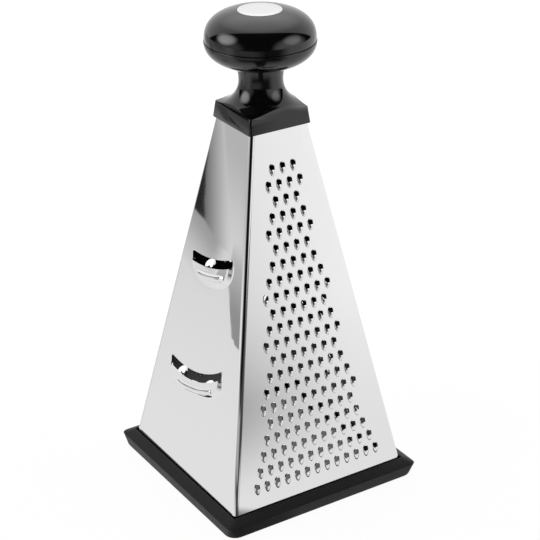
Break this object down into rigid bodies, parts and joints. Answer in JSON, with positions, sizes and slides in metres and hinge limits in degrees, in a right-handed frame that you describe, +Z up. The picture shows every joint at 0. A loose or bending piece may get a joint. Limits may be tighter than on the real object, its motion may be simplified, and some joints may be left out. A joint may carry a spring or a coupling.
{
  "type": "box grater",
  "caption": "Pyramid shaped box grater in polished steel, with slicing, fine, medium and coarse sides, a round black knob handle and a black base ring.",
  "frame": {"origin": "middle of the flat underside of the base ring", "axes": "+Z up along the grater's middle axis, fine side faces -Y, slicing side faces -X, medium side +X, coarse side +Y"},
  "size_m": [0.115, 0.115, 0.25],
  "materials": {
    "steel": "polished",
    "zinc_plated": "satin",
    "brass": "satin",
    "gloss_black": "gloss",
    "disc_metal": "satin",
    "ring_black": "matte"
  },
  "bodies": {
    "root": {"slicing_panel": "steel", "fine_panel": "steel", "medium_panel": "steel", "coarse_panel": "steel", "clamp_plate": "zinc_plated", "washer": "zinc_plated", "tie_bolt": "zinc_plated", "collar": "gloss_black", "knob_base": "gloss_black", "knob_insert": "brass", "knob_top": "gloss_black", "knob_disc": "disc_metal", "base_ring": "ring_black"}
  },
  "joints": []
}
